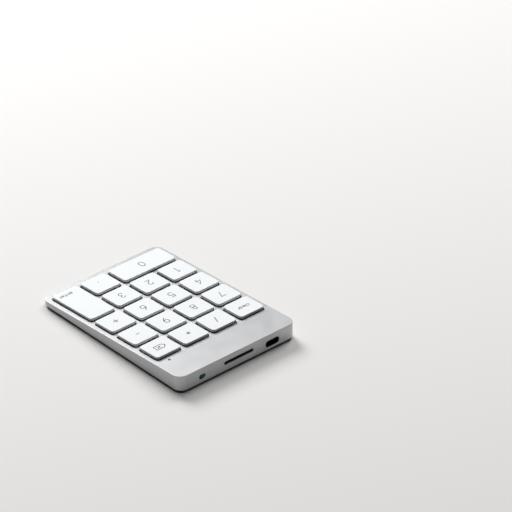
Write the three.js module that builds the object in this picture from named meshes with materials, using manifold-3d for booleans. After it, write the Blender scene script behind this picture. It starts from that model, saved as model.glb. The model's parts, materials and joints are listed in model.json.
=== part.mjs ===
// Slim wedge-shaped wireless numeric keypad: eighteen scissor keys in an aluminium shell over a plastic base.
// Millimetres. +X to the user's right, +Y away from the user (towards the port edge), +Z up, desk at z = 0.
import * as THREE from 'three';
import { mergeVertices } from 'three/addons/utils/BufferGeometryUtils.js';
import Module from 'manifold-3d';

const wasm = await Module();
wasm.setup();

// ---- driving dimensions -------------------------------------------------------------------------------
// case
const caseWidth = 79.8;
const caseLength = 109.9;
const cornerRadius = 5;
const wedge = THREE.MathUtils.degToRad(3);
const deckHeight = 7.1; // the deck's surface over the desk, at y = 0
const deckThickness = 1.0;
const wallThickness = 1.3;
const rimChamfer = 0.35;
const wallFoot = 1.5; // lower edge of the aluminium wall

// keys: pitches, cap, opening and travel; heights in this block are measured square to the deck
const columnPitch = 19;
const rowPitch = 17.5;
const firstRowY = 27; // centre of the row nearest the port edge
const capWidth = 16.4;
const capDepth = 14.8;
const capRadius = 1.8;
const capHeight = 1.7;
const capSkirt = 0.3; // the skirt's lower edge, over the deck's surface: the key hovers over its opening
const capRoof = 1.0;
const capWall = 0.8;
const capChamfer = 0.25;
const bossHalf = 1.5;
const bossDrop = 0.25;
const openingGap = 0.45;
const keyTravel = 1.2;

// layers under the deck: lower and upper face of each sheet
const plateLayer = { low: -2.75, high: -2.45 };
const membraneLayer = { low: -2.25, high: -2.05 };
const domeLayer = { low: -1.85, high: -1.65 };
const sheetHalfWidth = 37.1;
const sheetFrontY = -50.4;
const sheetBackY = 35.5;

// rubber domes
const domeBaseRadius = 2.5;
const domeTopRadius = 1.3;
const domeWall = 0.25;
const domeTop = capHeight - capRoof - bossDrop - 0.15;

// scissor frames: pivot line, reach to the sliding end, and the window round the dome
const pivotZ = -1.2;
const frameReach = 8;
const frameThickness = 0.4;
const frameHalfWidth = 5.5;
const frameEnd = 0.35;
const windowHalfWidth = 3.4;
const windowMargin = 0.9;
const stubReach = 6.3;
const slideGap = 0.1;

// stabiliser wires under the two long keys
const wireThickness = 0.5;
const wireReach = 5.6;
const wireTurn = 1.3;
const wideKeyWireHalf = 13.75;
const tallKeyWireHalf = 12.25;

// hooks on the support plate, which hold the frames' and wires' pivots
const hook = { x: 5.75, width: 0.4, back: -1.0, front: -0.6, reach: 0.3, under: -0.8, top: -0.6 };
const hookHoleMargin = 0.2;
const tallWireShift = 1; // the tall key's wire sits this far to the side of the key's middle

// back compartment, heights over the desk
const portX = -23;
const portZ = 4.8;
const portHole = { width: 9.5, height: 3.7 };
const portShell = { width: 9.3, height: 3.5, wall: 0.3, depth: 7.4, recess: 0.15 };
const tongue = { width: 6.7, height: 0.7, back: 48, front: 53.6 };
const slotZ = 5.9;
const slotSize = { width: 20, height: 1.8 };
const slotGap = 0.06;
const slotRecess = 0.1; // the window's face, behind the wall's
const switchX = 24.8;
const switchZ = 4.95;
const switchHole = { width: 4.2, height: 2.6 };
const knob = { width: 2.15, height: 2.3, offset: 0.95, back: 54.7, front: 55.1 };
const knobStem = { width: 1.2, height: 0.6, back: 52.65 };
const switchBox = { width: 8, height: 3.5, back: 48.75, front: 53.45 };
const stemSlot = { width: 3.4, height: 0.9, depth: 1.2 };
const indicator = { back: 53.55, front: 54.6, gap: 0.06 }; // insert in the switch's hole
const ledX = 31.7;
const ledY = 37.7;
const ledHoleRadius = 0.7;
const ledPipe = { radius: 0.55, low: -3.5, high: -0.25 };
const board = { halfWidth: 33, back: 52.6, front: 38.5, low: 2.2, high: 3.0 };
const cell = { width: 46, front: 9, back: 34, low: 1.6, high: 4.4 };

// base
const cover = { inset: 0.5, low: 0.7, high: 1.4, lipHigh: 2.2, lipWidth: 0.8, lipGap: 0.25 };
const foot = { x: 27, y: 46, width: 14, depth: 5, high: 0.65, chamfer: 0.15 };
const screwPlaces = [[-30, -52.2], [30, -52.2], [-36, 50], [36, 50]];
const screw = { headRadius: 1.3, headLow: 0.72, headHigh: 0.98, shankRadius: 0.6, top: 3.0 };
const screwRecess = { radius: 1.6, high: 1.05 };
const screwBoss = { radius: 1.2, boreRadius: 0.85, low: 1.6, boreHigh: 3.2, clearance: 0.4 };
const platePosts = [[-19, 18.25], [19, 18.25], [-19, -16.75], [19, -16.75]];
const platePost = { radius: 0.7, gap: 0.1, clearance: 0.3 };
const boardPosts = [[-15, 41], [15, 41], [0, 50.5]];
const boardPostRadius = 1.0;
const boardGap = 0.1;
const chips = [ // x, y and how far each stands over the board
  { x: [1, 9], y: [45.8, 51.5], high: 0.9 },
  { x: [-11, -6], y: [44, 49], high: 0.7 },
  { x: [13, 17], y: [41, 44], high: 0.6 },
];

// the membrane's tail, in the deck's frame: it leaves the sheet, drops behind the keys and lies on the board
const tailHalfWidth = 4;
const tail = { leave: 37.8, land: 41.8, end: 45, drop: -6.15, rest: -6.25, thickness: 0.2 };

const sink = 0.1; // how far a body is set into the one it is joined to
const past = 1.0; // how far a cutter runs past what it cuts

// ---- finishes ------------------------------------------------------------------------------------------
const finish = (color, roughness, metalness = 0) => (
  new THREE.MeshStandardMaterial({ color, roughness, metalness }));
const finishes = {
  aluminium: finish('#c3c4c6', 0.38, 1),
  keycap: finish('#f1f5f8', 0.42),
  base: finish('#2b2c2e', 0.6),
  foot: finish('#3a3b3d', 0.85),
  steel: finish('#8f9296', 0.35, 1),
  plate: finish('#55575a', 0.45, 1),
  socket: finish('#2c2d2f', 0.4, 1),
  film: finish('#3a3b3c', 0.3),
  silicone: finish('#38393b', 0.6),
  board: finish('#1e3b2c', 0.5),
  battery: finish('#9ea1a5', 0.4),
  insulator: finish('#1a1b1c', 0.5),
  indicator: finish('#39b54a', 0.5),
  lightPipe: finish('#5a5d60', 0.2),
  scissor: finish('#3b3c3e', 0.5),
};

// ---- shape helpers -------------------------------------------------------------------------------------
// rounded rectangle round the origin, anticlockwise, with the same point count for every size
function roundedOutline(width, depth, radius, steps) {
  const points = [];
  const corners = [[1, 1], [-1, 1], [-1, -1], [1, -1]];
  corners.forEach(([sx, sy], corner) => {
    for (let i = 0; i <= steps; i += 1) {
      const angle = (corner + i / steps) * Math.PI / 2;
      const x = sx * (width / 2 - radius) + radius * Math.cos(angle);
      const y = sy * (depth / 2 - radius) + radius * Math.sin(angle);
      points.push([x, y]);
    }
  });
  return points;
}

function circleOutline(radius, sides) {
  const points = [];
  for (let i = 0; i < sides; i += 1) {
    const angle = (i + 0.5) * 2 * Math.PI / sides;
    points.push([radius * Math.cos(angle), radius * Math.sin(angle)]);
  }
  return points;
}

const ring = (outline, z) => outline.map(([x, y]) => [x, y, typeof z === 'function' ? z(y) : z]);

// closed body along a path of rings: walls between neighbours, a fan over the first and the last
function ringBody(rings) {
  const count = rings[0].length;
  const faces = [];
  for (let k = 0; k < rings.length - 1; k += 1) {
    for (let i = 0; i < count; i += 1) {
      const next = (i + 1) % count;
      const [a, b] = [k * count + i, k * count + next];
      const [c, d] = [b + count, a + count];
      faces.push(a, b, c, a, c, d);
    }
  }
  const last = (rings.length - 1) * count;
  for (let i = 1; i < count - 1; i += 1) {
    faces.push(0, i + 1, i);
    faces.push(last, last + i, last + i + 1);
  }
  const geometry = new THREE.BufferGeometry();
  geometry.setAttribute('position', new THREE.Float32BufferAttribute(rings.flat(2), 3));
  geometry.setIndex(faces);
  return geometry;
}

const prism = (outline, low, high) => ringBody([ring(outline, low), ring(outline, high)]);

const rod = (radius, sides, low, high) => prism(circleOutline(radius, sides), low, high);

function block([x0, x1], [y0, y1], [z0, z1]) {
  const geometry = new THREE.BoxGeometry(x1 - x0, y1 - y0, z1 - z0);
  return geometry.translate((x0 + x1) / 2, (y0 + y1) / 2, (z0 + z1) / 2);
}

// plate cut from a flat outline, with windows, between two heights
function cutPlate(outline, windows, low, high) {
  const shape = new THREE.Shape(outline.map(([x, y]) => new THREE.Vector2(x, y)));
  windows.forEach((edge) => shape.holes.push(new THREE.Path(edge.map(([x, y]) => new THREE.Vector2(x, y)))));
  return new THREE.ExtrudeGeometry(shape, { depth: high - low, bevelEnabled: false }).translate(0, 0, low);
}

const rectangle = (x0, x1, y0, y1) => [[x0, y0], [x1, y0], [x1, y1], [x0, y1]];

// the same body, turned so that its rings stand across Y, round the point x, z
const stand = (geometry, x, z) => geometry.rotateX(-Math.PI / 2).translate(x, 0, z);

// ---- booleans ------------------------------------------------------------------------------------------
function solid(geometry) {
  const bare = geometry.clone();
  bare.deleteAttribute('normal');
  bare.deleteAttribute('uv');
  const merged = mergeVertices(bare, 1e-5);
  const vertProperties = new Float32Array(merged.attributes.position.array);
  const triVerts = new Uint32Array(merged.index.array);
  return new wasm.Manifold(new wasm.Mesh({ numProp: 3, vertProperties, triVerts }));
}

const union = (body, geometries) => geometries.reduce((sum, geometry) => sum.add(solid(geometry)), body);
const cut = (body, geometries) => geometries.reduce((rest, geometry) => rest.subtract(solid(geometry)), body);

function shell(body) {
  const mesh = body.getMesh();
  const geometry = new THREE.BufferGeometry();
  geometry.setAttribute('position', new THREE.Float32BufferAttribute(mesh.vertProperties, 3));
  geometry.setIndex(new THREE.Uint32BufferAttribute(mesh.triVerts, 1));
  return geometry;
}

// ---- layout --------------------------------------------------------------------------------------------
const columnX = (column) => (column - 1.5) * columnPitch;
const rowY = (row) => firstRowY - row * rowPitch;
const deckZ = (y) => deckHeight + y * Math.tan(wedge);
const onDeck = new THREE.Matrix4().makeRotationX(wedge).setPosition(0, 0, deckHeight);
const openingRadius = capRadius + openingGap;

// ring of the case's outline at a height: the walls are square to the deck, so they lean as it does
function caseRing(inset, height) {
  const outline = roundedOutline(caseWidth - 2 * inset, caseLength - 2 * inset, cornerRadius - inset, 6);
  return outline.map(([x, y]) => {
    const z = typeof height === 'function' ? height(y) : height;
    return [x, y + (deckZ(y) - z) * Math.tan(wedge), z];
  });
}
const caseBody = (inset, low, high) => ringBody([caseRing(inset, low), caseRing(inset, high)]);
const portWallY = (z) => caseLength / 2 + (deckZ(caseLength / 2) - z) * Math.tan(wedge);

const key = (name, column, row, columns = 1, rows = 1) => ({
  name,
  x: columnX(column) + (columns - 1) * columnPitch / 2,
  y: rowY(row) - (rows - 1) * rowPitch / 2,
  width: capWidth + (columns - 1) * columnPitch,
  depth: capDepth + (rows - 1) * rowPitch,
});
const keys = [
  key('clear', 0, 0), key('divide', 1, 0), key('multiply', 2, 0), key('backspace', 3, 0),
  key('7', 0, 1), key('8', 1, 1), key('9', 2, 1), key('minus', 3, 1),
  key('4', 0, 2), key('5', 1, 2), key('6', 2, 2), key('plus', 3, 2),
  key('1', 0, 3), key('2', 1, 3), key('3', 2, 3), key('enter', 3, 3, 1, 2),
  key('0', 0, 4, 2, 1), key('decimal', 2, 4),
];
const wideKey = keys.find(({ name }) => name === '0');
const tallKey = keys.find(({ name }) => name === 'enter');

// ---- pieces --------------------------------------------------------------------------------------------
function topCase() {
  const body = solid(ringBody([
    caseRing(0, wallFoot),
    caseRing(0, (y) => deckZ(y) - rimChamfer),
    caseRing(rimChamfer, deckZ),
  ]));
  const cavity = caseBody(wallThickness, 0, (y) => deckZ(y) - deckThickness / Math.cos(wedge));
  const openings = keys.map(({ x, y, width, depth }) => {
    const outline = roundedOutline(width + 2 * openingGap, depth + 2 * openingGap, openingRadius, 3);
    return prism(outline, -2 * deckThickness, deckThickness).translate(x, y, 0).applyMatrix4(onDeck);
  });
  const outside = caseLength / 2 + wallThickness;
  const inside = caseLength / 2 - 2 * wallThickness;
  const wallHole = ({ width, height }, radius, x, z) => (
    stand(prism(roundedOutline(width, height, radius, 4), inside, outside), x, z));
  const portHoles = [
    wallHole(portHole, portHole.height / 2.01, portX, portZ),
    wallHole(slotSize, slotSize.height / 2.01, 0, slotZ),
    wallHole(switchHole, switchHole.height / 2.01, switchX, switchZ),
    rod(ledHoleRadius, 12, -2 * deckThickness, deckThickness).translate(ledX, ledY, 0).applyMatrix4(onDeck),
  ];
  const bosses = screwPlaces.map(([x, y]) => (
    rod(screwBoss.radius, 10, screwBoss.low, deckZ(y) - deckThickness / 2).translate(x, y, 0)));
  const bores = screwPlaces.map(([x, y]) => (
    rod(screwBoss.boreRadius, 8, 0, screwBoss.boreHigh).translate(x, y, 0)));
  const posts = platePosts.map(([x, y]) => (
    rod(platePost.radius, 8, plateLayer.high + platePost.gap, -deckThickness / 2)
      .translate(x, y, 0).applyMatrix4(onDeck)));
  const walled = cut(body, [cavity, ...openings, ...portHoles]);
  return shell(cut(union(walled, [...bosses, ...posts]), bores));
}

function bottomCover() {
  const floor = solid(caseBody(cover.inset, cover.low, cover.high));
  const lipOuter = wallThickness + cover.lipGap;
  const lip = solid(caseBody(lipOuter, cover.high - sink, cover.lipHigh))
    .subtract(solid(caseBody(lipOuter + cover.lipWidth, 0, cover.lipHigh + past)));
  const bossClearances = screwPlaces.map(([x, y]) => (
    rod(screwBoss.radius + screwBoss.clearance, 10, cover.high, cover.lipHigh + past).translate(x, y, 0)));
  const posts = boardPosts.map(([x, y]) => (
    rod(boardPostRadius, 8, cover.high - sink, board.low - boardGap).translate(x, y, 0)));
  const screwHoles = screwPlaces.map(([x, y]) => (
    rod(screwBoss.boreRadius, 8, 0, cover.high + past).translate(x, y, 0)));
  const recesses = screwPlaces.map(([x, y]) => (
    rod(screwRecess.radius, 12, 0, screwRecess.high).translate(x, y, 0)));
  const lipped = cut(floor.add(lip), bossClearances);
  return shell(cut(union(lipped, posts), [...screwHoles, ...recesses]));
}

function keycap({ width, depth }) {
  const roof = capHeight - capRoof;
  const edge = (inset, z) => (
    ring(roundedOutline(width - 2 * inset, depth - 2 * inset, capRadius - inset, 3), z));
  const boss = roundedOutline(2 * bossHalf, 2 * bossHalf, bossHalf / 2, 3);
  return ringBody([
    ring(boss, roof - bossDrop),
    ring(boss, roof),
    edge(capWall, roof),
    edge(capWall, capSkirt),
    edge(0, capSkirt),
    edge(0, capHeight - capChamfer),
    edge(capChamfer, capHeight),
  ]);
}

// flat frame along +Y from its pivot line, with stubs on that line
function scissorFrame() {
  const [end, half, stub] = [frameEnd, frameHalfWidth, frameThickness / 2];
  const outline = [
    [-half, -end], [half, -end], [half, -stub], [stubReach, -stub], [stubReach, stub], [half, stub],
    [half, frameReach + end], [-half, frameReach + end],
    [-half, stub], [-stubReach, stub], [-stubReach, -stub], [-half, -stub],
  ];
  const opening = rectangle(-windowHalfWidth, windowHalfWidth, windowMargin, frameReach - windowMargin);
  return cutPlate(outline, [opening], -frameThickness / 2, frameThickness / 2);
}

// angle at which a link of this reach, pivoted on the plate, meets the underside of a cap
const restAngle = (reach, thickness) => (
  Math.asin((capHeight - capRoof - slideGap - thickness / 2 - pivotZ) / reach));

// flat U of square wire: its bar lies along X at y = reach, and its ends turn in on the pivot line
function stabiliserWire(half) {
  const [bar, turned] = [half - wireThickness, half - wireTurn];
  const low = -wireThickness / 2;
  const outline = [
    [-half, low], [-turned, low], [-turned, -low], [-bar, -low], [-bar, wireReach + low],
    [bar, wireReach + low], [bar, -low], [turned, -low], [turned, low], [half, low],
    [half, wireReach - low], [-half, wireReach - low],
  ];
  return cutPlate(outline, [], low, -low);
}

// places of the plate's hooks: centre of the pivot line, half span to the hooks, and the turn about Z
const hookPlaces = [
  ...keys.map(({ x, y }) => ({ x, y: y - frameReach / 2, span: hook.x + hook.width / 2, turn: 0 })),
  { x: wideKey.x, y: wideKey.y, span: wideKeyWireHalf - wireTurn / 2 - wireThickness / 2, turn: 0 },
  {
    x: tallKey.x + tallWireShift,
    y: tallKey.y,
    span: tallKeyWireHalf - wireTurn / 2 - wireThickness / 2,
    turn: -Math.PI / 2,
  },
];
const atHooks = (make) => hookPlaces.flatMap(({ x, y, span, turn }) => (
  [-span, span].map((side) => make().translate(side, 0, 0).rotateZ(turn).translate(x, y, 0))));

// body from a profile of y, z points, reaching half a width to each side along X
function acrossX(profile, half) {
  const shape = new THREE.Shape(profile.map(([y, z]) => new THREE.Vector2(y, z)));
  const turn = new THREE.Matrix4().set(0, 0, 1, -half, 1, 0, 0, 0, 0, 1, 0, 0, 0, 0, 0, 1);
  return new THREE.ExtrudeGeometry(shape, { depth: 2 * half, bevelEnabled: false }).applyMatrix4(turn);
}

// hook of bent sheet: a post behind the pivot and an arm over it
const plateHook = () => acrossX([
  [hook.back, plateLayer.low + sink], [hook.front, plateLayer.low + sink], [hook.front, hook.under],
  [hook.reach, hook.under], [hook.reach, hook.top], [hook.back, hook.top],
], hook.width / 2);

const sheetOutline = rectangle(-sheetHalfWidth, sheetHalfWidth, sheetFrontY, sheetBackY);

function supportPlate() {
  return shell(union(solid(cutPlate(sheetOutline, [], plateLayer.low, plateLayer.high)), atHooks(plateHook)));
}

// holes through the sheets above the plate, for its hooks and for the case's posts
function sheetHoles(low, high) {
  const margin = hookHoleMargin;
  const hookHole = () => block(
    [-hook.width / 2 - margin, hook.width / 2 + margin],
    [hook.back - margin, hook.front + margin],
    [low, high]);
  const postHoles = platePosts.map(([x, y]) => (
    rod(platePost.radius + platePost.clearance, 8, low, high).translate(x, y, 0)));
  return [...atHooks(hookHole), ...postHoles];
}

// membrane with a tail that steps down behind the keys to the board
function membraneSheet() {
  const sheet = solid(cutPlate(sheetOutline, [], membraneLayer.low, membraneLayer.high));
  const [low, high] = [membraneLayer.low, membraneLayer.high];
  const { leave, land, end, drop, rest, thickness } = tail;
  const bar = acrossX([
    [sheetBackY - past, low], [leave, low], [land, drop], [end, rest],
    [end, rest + thickness], [land + thickness, drop + thickness], [leave + thickness, high],
    [sheetBackY - past, high],
  ], tailHalfWidth);
  return shell(cut(union(sheet, [bar]), sheetHoles(low - past, high + past)));
}

function domeSheet() {
  const [low, high] = [domeLayer.low, domeLayer.high];
  const sides = 8;
  const sheet = solid(cutPlate(sheetOutline, [], low, high));
  const domes = keys.map(({ x, y }) => ringBody([
    ring(circleOutline(domeBaseRadius, sides), (low + high) / 2),
    ring(circleOutline(domeTopRadius, sides), domeTop),
  ]).translate(x, y, 0));
  const hollows = keys.map(({ x, y }) => ringBody([
    ring(circleOutline(domeBaseRadius - domeWall, sides), low - past),
    ring(circleOutline(domeBaseRadius - domeWall, sides), low),
    ring(circleOutline(domeTopRadius - domeWall, sides), domeTop - domeWall),
  ]).translate(x, y, 0));
  const holes = sheetHoles(low - past, (low + high) / 2 + past);
  return shell(cut(union(sheet, domes), [...hollows, ...holes]));
}

function mainBoard() {
  const { halfWidth, front, back, low, high } = board;
  const packages = chips.map((chip) => block(chip.x, chip.y, [high - sink, high + chip.high]));
  return shell(union(solid(block([-halfWidth, halfWidth], [front, back], [low, high])), packages));
}

function usbShell() {
  const { width, height, wall, depth, recess } = portShell;
  const front = portWallY(portZ) - recess;
  const edge = (inset, y) => ring(
    roundedOutline(width - 2 * inset, height - 2 * inset, (height / 2 - inset) * 0.99, 3), y);
  const rings = [edge(0, front - depth), edge(0, front), edge(wall, front), edge(wall, front - depth + wall)];
  return stand(ringBody(rings), portX, portZ);
}

function usbTongue() {
  const { width, height, back, front } = tongue;
  const [left, right] = [portX - width / 2, portX + width / 2];
  return block([left, right], [back, front], [portZ - height / 2, portZ + height / 2]);
}

function antennaWindow() {
  const { width, height } = slotSize;
  const outline = roundedOutline(width - 2 * slotGap, height - 2 * slotGap, height / 2 - slotGap * 1.05, 4);
  const face = portWallY(slotZ);
  return stand(prism(outline, face - wallThickness, face - slotRecess), 0, slotZ);
}

function switchBody() {
  const { width, height, back, front } = switchBox;
  const [left, right] = [switchX - width / 2, switchX + width / 2];
  const box = block([left, right], [back, front], [switchZ - height / 2, switchZ + height / 2]);
  const slot = block(
    [switchX - stemSlot.width / 2, switchX + stemSlot.width / 2],
    [front - stemSlot.depth, front + past],
    [switchZ - stemSlot.height / 2, switchZ + stemSlot.height / 2]);
  return shell(cut(solid(box), [slot]));
}

function switchIndicator() {
  const { back, front, gap } = indicator;
  const [width, height] = [switchHole.width - 2 * gap, switchHole.height - 2 * gap];
  const field = stand(prism(roundedOutline(width, height, height / 2.01, 4), back, front), switchX, switchZ);
  const slot = block(
    [switchX - stemSlot.width / 2, switchX + stemSlot.width / 2], [back - past, front + past],
    [switchZ - stemSlot.height / 2, switchZ + stemSlot.height / 2]);
  return shell(cut(solid(field), [slot]));
}

function switchKnob() {
  const head = prism(roundedOutline(knob.width, knob.height, knob.width / 2.02, 3), knob.back, knob.front);
  const stem = block(
    [-knobStem.width / 2, knobStem.width / 2], [knobStem.back, knob.back + sink],
    [-knobStem.height / 2, knobStem.height / 2]);
  return shell(solid(stand(head, 0, 0)).add(solid(stem)));
}

function footPad() {
  const edge = (inset, z) => ring(
    roundedOutline(foot.width - 2 * inset, foot.depth - 2 * inset, (foot.depth / 2 - inset) * 0.99, 4), z);
  return ringBody([edge(foot.chamfer, 0), edge(0, foot.chamfer), edge(0, foot.high)]);
}

function coverScrew() {
  const { headRadius, headLow, headHigh, shankRadius, top } = screw;
  const sides = 8;
  const edge = (radius, z) => ring(circleOutline(radius, sides), z);
  return ringBody([
    edge(headRadius, headLow),
    edge(headRadius, headHigh),
    edge(shankRadius, headHigh),
    edge(shankRadius, top),
  ]);
}

// ---- assembly ------------------------------------------------------------------------------------------
const keypad = new THREE.Group();
const deck = new THREE.Group();
deck.position.z = deckHeight;
deck.rotation.x = wedge;
keypad.add(deck);

function place(parent, name, geometry, material, position = [0, 0, 0]) {
  const mesh = new THREE.Mesh(geometry, material);
  mesh.name = name;
  mesh.position.set(...position);
  parent.add(mesh);
  return mesh;
}

place(keypad, 'top_case', topCase(), finishes.aluminium);
place(keypad, 'bottom_cover', bottomCover(), finishes.base);
place(deck, 'key_support_plate', supportPlate(), finishes.plate);
place(deck, 'membrane_sheet', membraneSheet(), finishes.film);
place(deck, 'dome_sheet', domeSheet(), finishes.silicone);
place(keypad, 'main_pcb', mainBoard(), finishes.board);
place(keypad, 'battery', block(
  [-cell.width / 2, cell.width / 2], [cell.front, cell.back], [cell.low, cell.high]), finishes.battery);
place(keypad, 'usb_c_shell', usbShell(), finishes.socket);
place(keypad, 'usb_c_tongue', usbTongue(), finishes.insulator);
place(keypad, 'antenna_window', antennaWindow(), finishes.insulator);
place(keypad, 'switch_body', switchBody(), finishes.insulator);
place(keypad, 'switch_indicator', switchIndicator(), finishes.indicator);
place(keypad, 'switch_knob', switchKnob(), finishes.insulator, [switchX + knob.offset, 0, switchZ]);
const lightPipe = rod(ledPipe.radius, 10, ledPipe.low, ledPipe.high);
place(deck, 'led_light_pipe', lightPipe, finishes.lightPipe, [ledX, ledY, 0]);

const footNames = ['front_left', 'front_right', 'back_left', 'back_right'];
footNames.forEach((corner, i) => {
  const [sx, sy] = [i % 2 ? 1 : -1, i < 2 ? -1 : 1];
  place(keypad, `foot_${corner}`, footPad(), finishes.foot, [sx * foot.x, sy * foot.y, 0]);
  place(keypad, `screw_${corner}`, coverScrew(), finishes.steel, [...screwPlaces[i], 0]);
});

keys.forEach((spec) => {
  place(deck, `keycap_${spec.name}`, keycap(spec), finishes.keycap, [spec.x, spec.y, 0]);
  const pivot = [spec.x, spec.y - frameReach / 2, pivotZ];
  const frame = place(deck, `scissor_${spec.name}`, scissorFrame(), finishes.scissor, pivot);
  frame.rotation.x = restAngle(frameReach, frameThickness);
});

const wireAngle = restAngle(wireReach, wireThickness);
const wideWire = stabiliserWire(wideKeyWireHalf).rotateX(wireAngle);
place(deck, 'stabiliser_0', wideWire, finishes.steel, [wideKey.x, wideKey.y, pivotZ]);
const tallWire = stabiliserWire(tallKeyWireHalf).rotateX(wireAngle).rotateZ(-Math.PI / 2);
place(deck, 'stabiliser_enter', tallWire, finishes.steel, [tallKey.x + tallWireShift, tallKey.y, pivotZ]);

export default keypad;
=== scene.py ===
# %% [markdown]
# A slim wireless numeric keypad: a wedge of bead-blasted aluminium with eighteen white scissor keys.
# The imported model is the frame. It holds every size, place and joint, so each cell below only asks it
# where a piece is, and then builds the finely rounded surface and the finish that the eye expects there.

# %% Load the frame
import bpy
import json
import math
import numpy as np
from mathutils import Matrix, Vector


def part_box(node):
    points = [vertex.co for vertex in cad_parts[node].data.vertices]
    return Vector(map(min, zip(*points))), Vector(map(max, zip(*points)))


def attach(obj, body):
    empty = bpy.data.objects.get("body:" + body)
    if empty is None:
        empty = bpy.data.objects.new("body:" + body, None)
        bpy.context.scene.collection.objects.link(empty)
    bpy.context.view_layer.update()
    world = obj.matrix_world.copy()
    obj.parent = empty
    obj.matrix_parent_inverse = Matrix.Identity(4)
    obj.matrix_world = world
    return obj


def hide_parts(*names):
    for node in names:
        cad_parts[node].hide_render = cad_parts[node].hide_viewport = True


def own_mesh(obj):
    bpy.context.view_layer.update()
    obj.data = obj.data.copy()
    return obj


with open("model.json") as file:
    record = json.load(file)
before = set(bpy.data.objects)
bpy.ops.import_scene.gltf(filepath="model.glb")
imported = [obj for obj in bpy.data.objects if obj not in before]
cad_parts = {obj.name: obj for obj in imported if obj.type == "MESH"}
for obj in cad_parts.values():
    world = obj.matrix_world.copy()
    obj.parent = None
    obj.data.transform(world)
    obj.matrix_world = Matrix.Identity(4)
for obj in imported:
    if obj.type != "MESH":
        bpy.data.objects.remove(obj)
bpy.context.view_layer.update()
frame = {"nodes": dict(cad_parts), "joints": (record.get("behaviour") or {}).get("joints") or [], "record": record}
nodes = frame["nodes"]
key_names = [name[len("keycap_"):] for name in sorted(nodes) if name.startswith("keycap_")]
MM = 0.001

# %% [markdown]
# The deck isn't level: it climbs towards the port edge, and the keys travel square to it. Their joint axis
# tells the angle of the wedge. Everything that belongs to the deck is drawn in a frame turned by that
# angle, where the deck is flat, and turned into the object's frame at the end.

# %% The deck's own frame
press_axis = next(j["axis"] for j in frame["joints"] if j["name"] == "press_" + key_names[0])
wedge = math.atan2(press_axis[1], -press_axis[2])
deck_turn = np.array([[1, 0, 0],
                      [0, math.cos(wedge), -math.sin(wedge)],
                      [0, math.sin(wedge), math.cos(wedge)]])


def node_points(node):
    """A node's vertices as an (n, 3) array in the object's frame."""
    points = np.zeros(len(nodes[node].data.vertices) * 3, np.float32)
    nodes[node].data.vertices.foreach_get("co", points)
    return points.reshape(-1, 3).astype(float)


def deck_box(node):
    """Lowest and highest corner of a node in the deck's frame: its points turned back by the wedge."""
    points = node_points(node) @ deck_turn
    return points.min(0), points.max(0)


def deck_height(y):
    """Height of the deck's plane over the desk at y."""
    return (deck_level + y * math.sin(wedge)) / math.cos(wedge)


def port_wall(z):
    """Y of the port wall's face at height z: the walls are square to the deck, so the wall leans outwards."""
    return CASE_LENGTH / 2 + (deck_height(CASE_LENGTH / 2) - z) * math.tan(wedge)


CASE_LENGTH = 109.9 * MM
deck_level = deck_box("top_case")[1][2]
print(f"wedge {math.degrees(wedge):.2f} degrees, deck level {deck_level / MM:.2f} mm")

# %% [markdown]
# Nearly every piece here is a stack of rings: one outline, shrunk or lifted a little from ring to ring.
# With the outline as a formula and the steps as a short profile of (inset, height) pairs, a rounded edge is
# just a quarter circle in that profile. The whole stack is worked out as one array.

# %% Outlines, profiles and ring stacks


LEAST_RADIUS = 0.02 * MM


def rounded_outline(width, depth, radius, inset=0.0, steps=10):
    """Rounded rectangle round the origin, anticlockwise: each corner is an arc of the radius, less the inset,
    round a centre that stays put until the radius is used up."""
    turn = (np.arange(4)[:, None] + np.linspace(0, 1, steps + 1)[None, :]) * math.pi / 2
    round_off = max(radius - inset, LEAST_RADIUS)
    side = np.array([[1, 1], [-1, 1], [-1, -1], [1, -1]])[:, None, :]
    centre = side * (np.array([width, depth]) / 2 - inset - round_off)
    corner = np.stack([np.cos(turn), np.sin(turn)], -1) * round_off
    return (centre + corner).reshape(-1, 2)


def ring_outline(radius, count=32):
    """Circle round the origin, anticlockwise."""
    turn = np.arange(count) * 2 * math.pi / count
    return np.stack([np.cos(turn), np.sin(turn)], -1) * radius


def quarter(inset_from, inset_to, height_from, height_to, count=5, bulge="out"):
    """Quarter ellipse of (inset, height) pairs. It leaves the first pair upright, or flat if bulge is in."""
    t = np.linspace(0, math.pi / 2, count + 1)
    along, up = (1 - np.cos(t), np.sin(t)) if bulge == "out" else (np.sin(t), 1 - np.cos(t))
    return np.stack([inset_from + (inset_to - inset_from) * along,
                     height_from + (height_to - height_from) * up], -1)


def stack(outline_at, profile):
    """Rings of a profile: outline_at(inset) lifted to each height. Result (rings, points, 3)."""
    return np.stack([np.column_stack([outline, np.full(len(outline), height)])
                     for outline, height in ((outline_at(inset), height) for inset, height in profile)])


def stack_faces(rings, points, start=0):
    """Quads between neighbouring rings, and one face over each end, as index lists."""
    ring = np.arange(rings - 1)[:, None] * points
    a = (ring + np.arange(points)[None, :]).ravel() + start
    b = (ring + (np.arange(points)[None, :] + 1) % points).ravel() + start
    quads = np.stack([a, b, b + points, a + points], -1).tolist()
    first = np.arange(points)[::-1] + start
    last = np.arange(points) + start + (rings - 1) * points
    return quads + [first.tolist(), last.tolist()]


def joined(stacks):
    """Points and faces of several ring stacks as one mesh."""
    points, faces, start = [], [], 0
    for rings in stacks:
        points.append(rings.reshape(-1, 3))
        faces += stack_faces(rings.shape[0], rings.shape[1], start)
        start += rings.shape[0] * rings.shape[1]
    return np.concatenate(points), faces


def in_port_wall(points, x, z):
    """Turns a stack drawn flat so that it looks out of the port wall: its height runs along +Y from the
    wall's face at (x, z), and its outline stands in X and Z, leaning with the wall by the wedge's angle."""
    lean = points[..., 1] * math.tan(wedge)
    return np.stack([points[..., 0] + x, points[..., 2] + port_wall(z) + lean, z - points[..., 1]], -1)


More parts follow.
